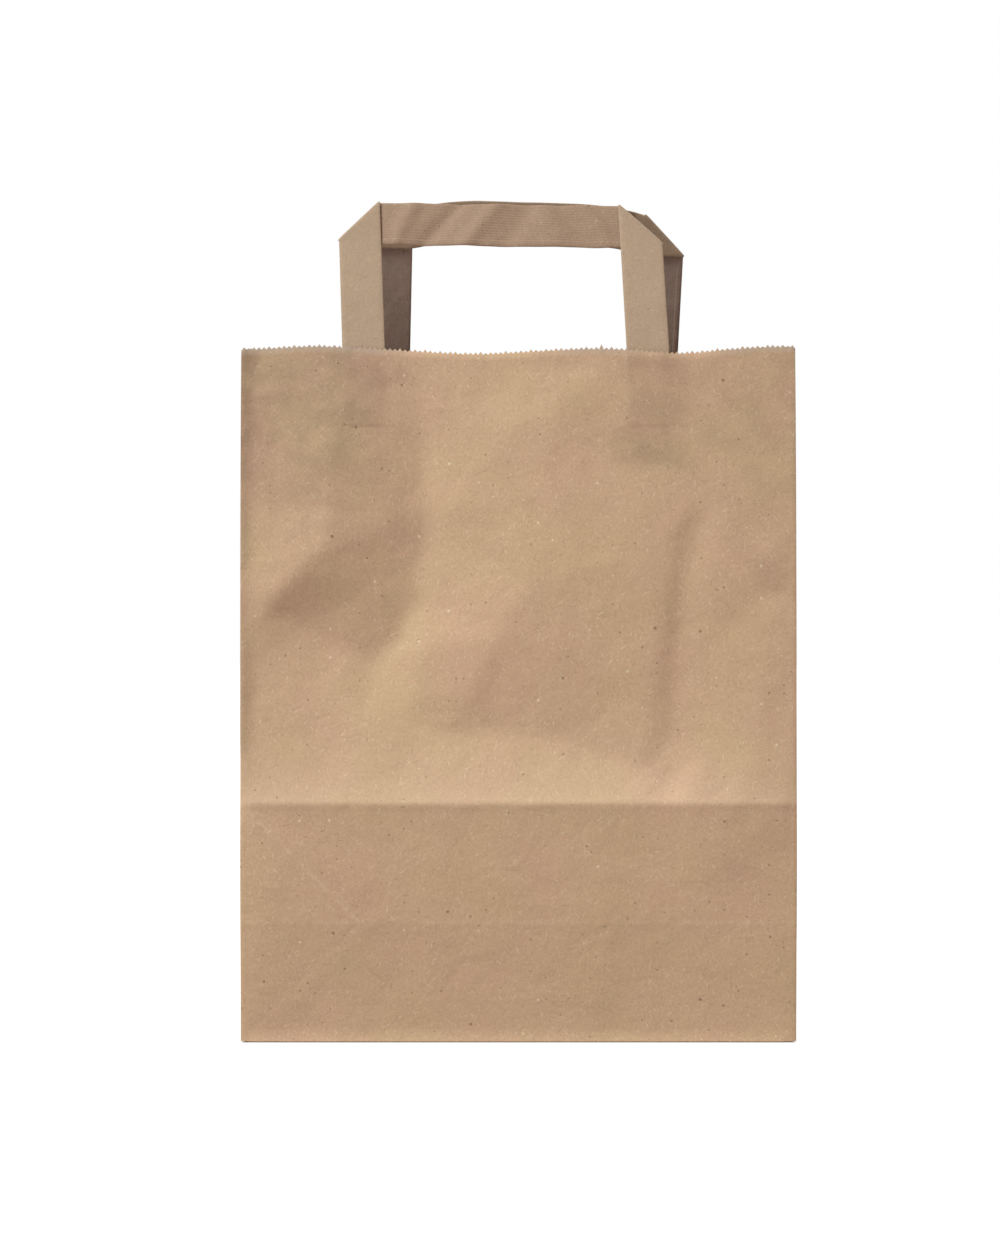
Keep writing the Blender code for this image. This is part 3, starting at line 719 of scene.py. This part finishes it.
def buildPatch(handle, material):  # a paper strip on the panel's inside, with a higher level over the legs
    x = np.linspace(-patch["width"] / 2, patch["width"] / 2, 151)
    below = np.linspace(patch["below"], patch["top"], 44)[:, None]
    overLeg = np.zeros(x.shape)
    for way in (-1, 1):
        gap = np.abs(x - way * (strap["span"] - strap["width"]) / 2) - strap["width"] / 2 - patch["margin"]
        overLeg += smoothStep(1 - gap / patch["ramp"])
    level = overLeg[None] * smoothStep(1 - (below - strap["below"] - patch["margin"]) / patch["ramp"])
    onPanel = -(solidWall / 2 + strap["glueGap"] + patch["thick"] / 2)
    layer = onPanel - level * (strap["thick"] + strap["glueGap"])
    point = insideRim(handle["side"], -below + 0 * layer, layer)[0]
    point[..., 0] += x + handle["offset"]
    point[..., 1] += followPanel(handle["side"], point[..., 0], point[..., 2])
    point[..., 1] *= handle["side"]
    faces = gridFaces(level.shape, 0)
    uvs = gridUvs(x, -below[:, 0])
    if handle["side"] > 0:
        faces, uvs = faces[:, ::-1], uvs[:, ::-1]
    obj = meshObject(handle["name"].replace("strap", "patch"), point.reshape(-1, 3), [faces], [uvs], material)
    thicken(obj, patch["thick"])
    return obj


# Paper finishes in linear colour: each sheet is a cloudy mix of a warm and a pale tone
kraft = {
    "warm": (0.522, 0.342, 0.229),
    "pale": (0.504, 0.355, 0.219),
    "speck": (0.12, 0.065, 0.035),
    "paleMark": (0.80, 0.70, 0.52),
    "tipShade": (0.30, 0.24, 0.20),
    "roughness": 0.68,
    "bump": 0.00006,
    "crumple": 0.0009,
    "fibres": 0.50,
    "flecks": 0.5,
}
kraftStrap = dict(
    kraft,
    warm=(0.354, 0.253, 0.178),
    pale=(0.369, 0.267, 0.189),
    reverse=(0.308, 0.205, 0.143),
    shaded=(0.288, 0.212, 0.178),
    fibres=0.20,
    flecks=0.0,
)
kraftPatch = dict(kraft, warm=(0.470, 0.310, 0.200), pale=(0.495, 0.340, 0.215))

# The pattern of all three on the flat sheet, in tenths of a metre. Fibre layers: their turn in degrees and
# their shift. Specks: cells per unit, share of the cells that hold one, size in cells, shift.
pattern = {
    "cloud": 2.4,
    "mottle": 95.0,
    "mottleBy": 0.08,
    "grain": 260.0,
    "crumple": 4.5,
    "darkLayers": ((12, 1.3), (58, 4.1), (103, 7.7), (151, 9.2)),
    "darkFibre": (26.0, 11.0, 0.70),
    "darkFibreTone": 0.55,
    "paleLayers": ((33, 2.6), (80, 5.9), (126, 8.4)),
    "paleFibre": (27.0, 12.0, 0.695),
    "smallSpecks": (34.0, 0.045, 0.10, 0.0),
    "largeSpecks": (11.0, 0.05, 0.055, 3.0),
    "specksBy": 0.55,
    "paleSpecks": (17.0, 0.03, 0.07, 6.0),
}

# Marks of the near panel, painted shade and painted highlight as well as wear: how strongly each mark tones
# the paper, and how dark a full mark is
wearAndPaintedLight = {
    "layers": 0.5,
    "legShadeTone": 0.88,
    "paintedShade": 0.5,
    "paintedShadeTone": 0.62,
    "paintedShadePatches": 9.0,
    "rubbedAndHighlit": 0.2,
    "foldHalf": 0.014,
    "foldPatches": 12.0,
    "folds": 0.14,
    "tips": 0.6,
}

# How worn each fold of the flat sheet is
foldWear = {
    "nearLeft": 1.0,
    "nearRight": 0.35,
    "far": 0.6,
    "upper": 0.9,
    "lower": 0.55,
    "halfLine": 0.5,
    "gussetDiagonal": 0.7,
    "gussetTop": 0.8,
}


def addNode(tree, kind, inputs=None, **settings):
    node = tree.nodes.new(kind)
    for key, value in settings.items():
        setattr(node, key, value)
    for key, value in (inputs or {}).items():
        if isinstance(value, bpy.types.NodeSocket):
            tree.links.new(value, node.inputs[key])
        else:
            node.inputs[key].default_value = value
    return node


def mixColour(tree, factor, first, second, kind="MIX"):
    node = addNode(tree, "ShaderNodeMix", {"Factor": factor}, data_type="RGBA", blend_type=kind)
    for index, value in ((6, first), (7, second)):
        if isinstance(value, bpy.types.NodeSocket):
            tree.links.new(value, node.inputs[index])
        else:
            node.inputs[index].default_value = (*value, 1)
    return node.outputs[2]


def scaled(tree, colour, factor):
    return mixColour(tree, 1.0, colour, (factor, factor, factor), "MULTIPLY")


def maths(tree, operation, first, second=0.5):
    return addNode(tree, "ShaderNodeMath", {0: first, 1: second}, operation=operation).outputs[0]


def marked(tree, colour, mask, share, mark):  # the mark's colour over the paper's, by a share of the mask
    return mixColour(tree, maths(tree, "MULTIPLY", mask, share), colour, mark)


def attribute(tree, name):
    return addNode(tree, "ShaderNodeAttribute", attribute_name=name).outputs["Fac"]


def between(tree, value, low, high):  # 0 under low, 1 over high, smooth between
    node = addNode(tree, "ShaderNodeMapRange", {"Value": value, "From Min": low, "From Max": high},
                   interpolation_type="SMOOTHSTEP")
    return node.outputs["Result"]


def noise(tree, place, scale, detail=2.0, roughness=0.5, distortion=0.0):
    node = addNode(tree, "ShaderNodeTexNoise", {"Vector": place, "Scale": scale, "Detail": detail,
                                                 "Roughness": roughness, "Distortion": distortion})
    return node.outputs["Fac"]


def fibres(tree, place, layers, scale, thin, threshold):
    # short, slightly curved fibres in several layers, each lying one way: noise turned and then stretched,
    # above a threshold
    strongest = None
    for turn, shift in layers:
        turned = addNode(tree, "ShaderNodeMapping", {
            "Vector": place, "Rotation": (0, 0, math.radians(turn)), "Location": (shift, shift * 0.7, 0),
            "Scale": (1 / scale, 1 / (scale * thin), 1)}, vector_type="TEXTURE")
        value = noise(tree, turned.outputs[0], 1.0, 1.0, 0.5, 0.5)
        layer = between(tree, value, threshold, threshold + 0.04)
        strongest = layer if strongest is None else maths(tree, "MAXIMUM", strongest, layer)
    return strongest


def specks(tree, place, scale, chance, size, shift):  # round specks near the middle of a few of the cells
    moved = addNode(tree, "ShaderNodeMapping", {"Vector": place, "Location": (shift, -shift, 0)})
    cells = addNode(tree, "ShaderNodeTexVoronoi", {"Vector": moved.outputs[0], "Scale": scale},
                    voronoi_dimensions="2D")
    parts = addNode(tree, "ShaderNodeSeparateColor", {"Color": cells.outputs["Color"]})
    chosen = maths(tree, "LESS_THAN", parts.outputs[0], chance)
    own = maths(tree, "ADD", maths(tree, "MULTIPLY", parts.outputs[1], size), size * 0.4)
    inside = maths(tree, "LESS_THAN", cells.outputs["Distance"], own)
    return maths(tree, "MULTIPLY", chosen, inside)


def flatFolds():  # worn lines on the flat sheet, in tenths of a metre: one end, other end, strength
    wide, deep = 10 * bag["width"], 10 * bag["gusset"]
    far = foldWear["far"]
    lines = []
    for first, left, right in ((0, foldWear["nearLeft"], foldWear["nearRight"]), (wide + deep, far, far)):
        last = first + wide
        for level, share in ((deep, foldWear["upper"]), (0, foldWear["lower"])):
            lines.append(((first, level), (first + deep / 2, deep / 2), share * left))
            lines.append(((last, level), (last - deep / 2, deep / 2), share * right))
        lines.append(((first, deep / 2), (last, deep / 2), foldWear["halfLine"]))
    for first in (wide, 2 * wide + deep):
        last = first + deep
        for level in (deep, 0):
            lines.append(((first, level), (first + deep / 2, deep / 2), foldWear["gussetDiagonal"]))
            lines.append(((last, level), (last - deep / 2, deep / 2), foldWear["gussetDiagonal"]))
        lines.append(((first, deep), (last, deep), foldWear["gussetTop"]))
    return lines


def foldMask(tree, place, start, end, half):  # 1 on a line of the flat sheet, 0 from half beside it onwards
    along = Vector((end[0] - start[0], end[1] - start[1], 0))
    across = Vector((-along.y, along.x, 0)).normalized()
    moved = addNode(tree, "ShaderNodeVectorMath", {0: place, 1: (*start, 0)}, operation="SUBTRACT").outputs[0]
    parts = []
    for way in (tuple(along / along.length_squared), tuple(across)):
        dot = addNode(tree, "ShaderNodeVectorMath", {0: moved, 1: way}, operation="DOT_PRODUCT")
        parts.append(dot.outputs["Value"])
    share, gap = parts
    beside = maths(tree, "SUBTRACT", 1.0, between(tree, maths(tree, "ABSOLUTE", gap), 0.0, half))
    within = maths(tree, "LESS_THAN", maths(tree, "ABSOLUTE", maths(tree, "SUBTRACT", share, 0.5)), 0.5)
    return maths(tree, "MULTIPLY", beside, within)


def wearAndPaintedLightColour(tree, place, colour, look):  # the near panel's painted shade and painted highlight, the folds' wear and the cut rim's painted shade
    # painted shade over the glued legs, for the lesser light through the thicker paper there
    darker = scaled(tree, colour, wearAndPaintedLight["legShadeTone"])
    colour = marked(tree, colour, attribute(tree, "layers"), wearAndPaintedLight["layers"], darker)
    patchy = between(tree, noise(tree, place, wearAndPaintedLight["paintedShadePatches"], 3.0), 0.3, 0.7)
    patchy = maths(tree, "ADD", maths(tree, "MULTIPLY", patchy, 0.5), 0.75)
    paintedShade = maths(tree, "MULTIPLY", attribute(tree, "paintedShade"), patchy)
    darker = scaled(tree, colour, wearAndPaintedLight["paintedShadeTone"])
    colour = marked(tree, colour, paintedShade, wearAndPaintedLight["paintedShade"], darker)
    # painted highlight on the crease and the slope above it, with some rubbed wear on the line
    colour = marked(tree, colour, attribute(tree, "lines"), wearAndPaintedLight["rubbedAndHighlit"], look["paleMark"])
    worn = 0.0
    for start, end, strength in flatFolds():
        mask = foldMask(tree, place, start, end, wearAndPaintedLight["foldHalf"])
        worn = maths(tree, "MAXIMUM", worn, maths(tree, "MULTIPLY", mask, strength))
    patchy = between(tree, noise(tree, place, wearAndPaintedLight["foldPatches"], 3.0), 0.35, 0.6)
    colour = marked(tree, colour, maths(tree, "MULTIPLY", worn, patchy), wearAndPaintedLight["folds"], look["paleMark"])
    # painted shade on the cut teeth
    return marked(tree, colour, attribute(tree, "tips"), wearAndPaintedLight["tips"], look["tipShade"])


def paperMaterial(name, look, layered=False, twoFaced=False):
    material = bpy.data.materials.new(name)
    material.use_nodes = True
    tree = material.node_tree
    shader = tree.nodes["Principled BSDF"]
    place = addNode(tree, "ShaderNodeUVMap", uv_map="paperUv").outputs[0]

    cloud = between(tree, noise(tree, place, pattern["cloud"], 3.0, 0.55, 0.3), 0.32, 0.68)
    colour = mixColour(tree, cloud, look["warm"], look["pale"])
    if twoFaced:
        colour = mixColour(tree, attribute(tree, "reverse"), colour, look["reverse"])
        # painted shade on the far legs' reverse
        colour = mixColour(tree, attribute(tree, "shaded"), colour, look["shaded"])

    mottle = noise(tree, place, pattern["mottle"], 4.0, 0.62)
    dark, pale = (scaled(tree, colour, 1 + way * pattern["mottleBy"]) for way in (-1, 1))
    colour = mixColour(tree, between(tree, mottle, 0.25, 0.75), dark, pale)
    darkFibres = fibres(tree, place, pattern["darkLayers"], *pattern["darkFibre"])
    paleFibres = fibres(tree, place, pattern["paleLayers"], *pattern["paleFibre"])
    colour = marked(tree, colour, darkFibres, look["fibres"], scaled(tree, colour, pattern["darkFibreTone"]))
    colour = marked(tree, colour, paleFibres, look["fibres"], look["paleMark"])
    small, large = (specks(tree, place, *pattern[kind]) for kind in ("smallSpecks", "largeSpecks"))
    colour = marked(tree, colour, maths(tree, "MAXIMUM", small, large), pattern["specksBy"], look["speck"])
    colour = marked(tree, colour, specks(tree, place, *pattern["paleSpecks"]), look["flecks"], look["paleMark"])
    if layered:
        colour = wearAndPaintedLightColour(tree, place, colour, look)

    tree.links.new(colour, shader.inputs["Base Color"])
    shader.inputs["Specular IOR Level"].default_value = 0.28
    shader.inputs["Sheen Weight"].default_value = 0.08
    shader.inputs["Sheen Roughness"].default_value = 0.5
    rough = maths(tree, "ADD", maths(tree, "MULTIPLY", mottle, 0.12), look["roughness"])
    tree.links.new(rough, shader.inputs["Roughness"])

    # two bumps: the sheet's soft crumple, and on it the grain with its fibres
    grain = maths(tree, "MULTIPLY", noise(tree, place, pattern["grain"], 3.0, 0.6), 0.6)
    grain = maths(tree, "ADD", grain, maths(tree, "MULTIPLY", darkFibres, 0.25))
    grain = maths(tree, "ADD", grain, maths(tree, "MULTIPLY", paleFibres, 0.2))
    crumple = noise(tree, place, pattern["crumple"], 3.0, 0.55, 0.3)
    waves = addNode(tree, "ShaderNodeBump", {"Height": crumple, "Distance": look["crumple"], "Strength": 1.0})
    bump = addNode(tree, "ShaderNodeBump", {"Height": grain, "Distance": look["bump"], "Strength": 0.6,
                                             "Normal": waves.outputs[0]})
    tree.links.new(bump.outputs[0], shader.inputs["Normal"])
    return material


studio = {
    "floorHalf": 9,
    "floorColour": (0.23, 0.22, 0.215, 1),
    "glowUnder": 0.85,
    "glowMore": 0.3,
    "glowFrom": 0.15,
    "glowTo": 0.34,
    "skyColour": (1.0, 0.82, 0.76, 1),
    "skyStrength": 0.32,
}


def seenRays(tree, kinds):  # 1 for rays that show the stage to the camera, 0 for those that light the bag
    rays = addNode(tree, "ShaderNodeLightPath")
    seen = rays.outputs["Is Camera Ray"]
    for kind in kinds:
        seen = maths(tree, "MAXIMUM", seen, rays.outputs[kind])
    return seen


def buildStage():  # a white floor that keeps a faint shadow round the bag, and a white backdrop
    material = bpy.data.materials.new("paleFloor")
    material.use_nodes = True
    tree = material.node_tree
    shader = tree.nodes["Principled BSDF"]
    shader.inputs["Base Color"].default_value = studio["floorColour"]
    shader.inputs["Roughness"].default_value = 0.9
    shader.inputs["Specular IOR Level"].default_value = 0.1
    place = addNode(tree, "ShaderNodeTexCoord").outputs["Object"]
    away = addNode(tree, "ShaderNodeVectorMath", {0: place}, operation="LENGTH").outputs["Value"]
    glow = between(tree, away, studio["glowFrom"], studio["glowTo"])
    glow = maths(tree, "ADD", maths(tree, "MULTIPLY", glow, studio["glowMore"]), studio["glowUnder"])
    white = addNode(tree, "ShaderNodeEmission", {"Color": (1, 1, 1, 1), "Strength": glow})
    clear = addNode(tree, "ShaderNodeAddShader", {0: shader.outputs[0], 1: white.outputs[0]})
    seen = seenRays(tree, ("Is Glossy Ray", "Is Transmission Ray"))
    chosen = addNode(tree, "ShaderNodeMixShader", {0: seen, 1: shader.outputs[0], 2: clear.outputs[0]})
    tree.links.new(chosen.outputs[0], tree.nodes["Material Output"].inputs["Surface"])
    half = studio["floorHalf"]
    corners = np.array([[-half, -half, 0], [half, -half, 0], [half, half, 0], [-half, half, 0]], float)
    floor = meshObject("floor", corners, [np.array([[0, 1, 2, 3]])], [np.zeros((1, 4, 2))], material)

    world = bpy.data.worlds.new("studio")
    scene.world = world
    world.use_nodes = True
    sky = world.node_tree
    sky.nodes.clear()
    seen = seenRays(sky, ("Is Transmission Ray",))
    shown = []
    for colour, strength in ((studio["skyColour"], studio["skyStrength"]), ((1, 1, 1, 1), 1.0)):
        shown.append(addNode(sky, "ShaderNodeBackground", {"Color": colour, "Strength": strength}).outputs[0])
    chosen = addNode(sky, "ShaderNodeMixShader", {0: seen, 1: shown[0], 2: shown[1]})
    addNode(sky, "ShaderNodeOutputWorld", {"Surface": chosen.outputs[0]})


lamps = (
    {"name": "key", "place": (-2.03, -1.58, 3.21), "size": 0.9, "power": 196, "colour": (0.95, 1.0, 0.96)},
    {"name": "back", "place": (0.80, 1.10, 1.30), "size": 1.0, "power": 24, "colour": (1.0, 0.98, 0.95)},
    {"name": "low", "place": (0.0, -0.45, 0.03), "size": 0.35, "power": 0.78, "colour": (1.0, 0.88, 0.82)},
)


def buildLamps():
    for lamp in lamps:
        data = bpy.data.lights.new(lamp["name"], "AREA")
        data.size, data.energy, data.color = lamp["size"], lamp["power"], lamp["colour"]
        obj = bpy.data.objects.new(lamp["name"], data)
        scene.collection.objects.link(obj)
        obj.location = lamp["place"]
        aim = np.array([0, 0, 0.15]) - np.array(lamp["place"])
        obj.rotation_euler = (math.atan2(math.hypot(aim[0], aim[1]), -aim[2]), 0, math.atan2(-aim[0], aim[1]))


def buildCamera():
    data = bpy.data.cameras.new("view")
    data.lens, data.sensor_width = view["lens"], view["sensor"]
    obj = bpy.data.objects.new("view", data)
    scene.collection.objects.link(obj)
    obj.location = view["camera"]
    obj.rotation_euler = (math.pi / 2, 0, 0)
    scene.camera = obj


sheetPaper = paperMaterial("kraftSheet", kraft, layered=True)
strapPaper = paperMaterial("kraftStrap", kraftStrap, twoFaced=True)
patchPaper = paperMaterial("kraftPatch", kraftPatch)
print("papers made")

sheet = buildBag(sheetPaper)
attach(sheet, "root")
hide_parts("bag_body")
print("bag sheet made:", len(sheet.data.polygons), "faces")

for handle in handles:
    made = buildStrap(handle, strapPaper)
    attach(made, "root")
    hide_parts(handle["node"])
    made = buildPatch(handle, patchPaper)
    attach(made, "root")
    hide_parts(handle["node"] + "_patch")
print("straps and patches made")

buildStage()
buildLamps()
buildCamera()
print("stage, lamps and camera made")
